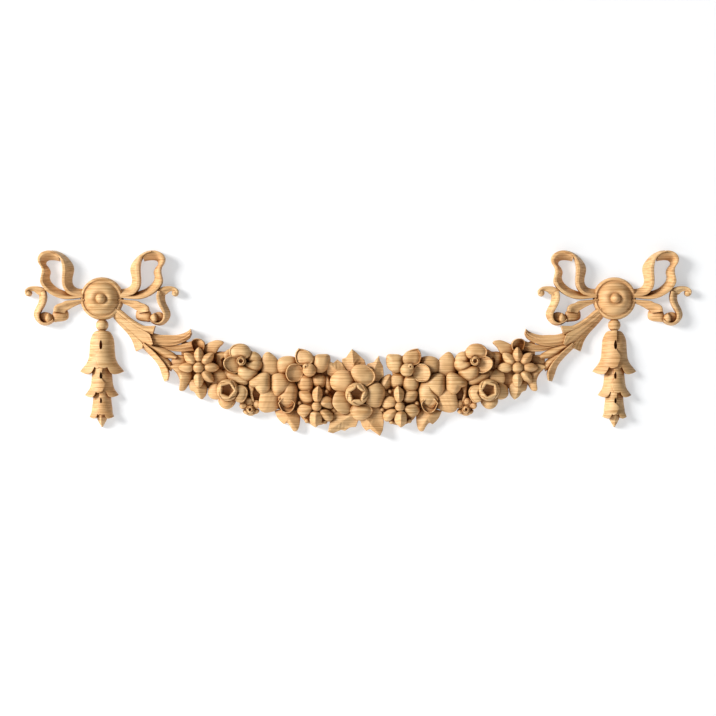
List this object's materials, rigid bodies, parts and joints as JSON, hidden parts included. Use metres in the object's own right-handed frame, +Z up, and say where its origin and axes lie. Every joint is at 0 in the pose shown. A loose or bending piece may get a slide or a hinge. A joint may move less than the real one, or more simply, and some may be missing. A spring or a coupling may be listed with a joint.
{
  "type": "carved wood garland applique",
  "caption": "Carved wood swag of flowers and leaves between two ribbon bows with bellflower drops, flat at the back for fixing to a wall or furniture.",
  "frame": {"origin": "on the flat back, behind the middle flower, on the symmetry axis", "axes": "+X along the swag to the right as seen from the front, +Y out of the flat back into the wall, +Z up; the carving faces -Y"},
  "size_m": [0.668, 0.0255, 0.1862],
  "materials": {
    "wood": "sanded, unvarnished pale wood"
  },
  "bodies": {
    "root": {"carved_garland": "wood"}
  },
  "joints": []
}
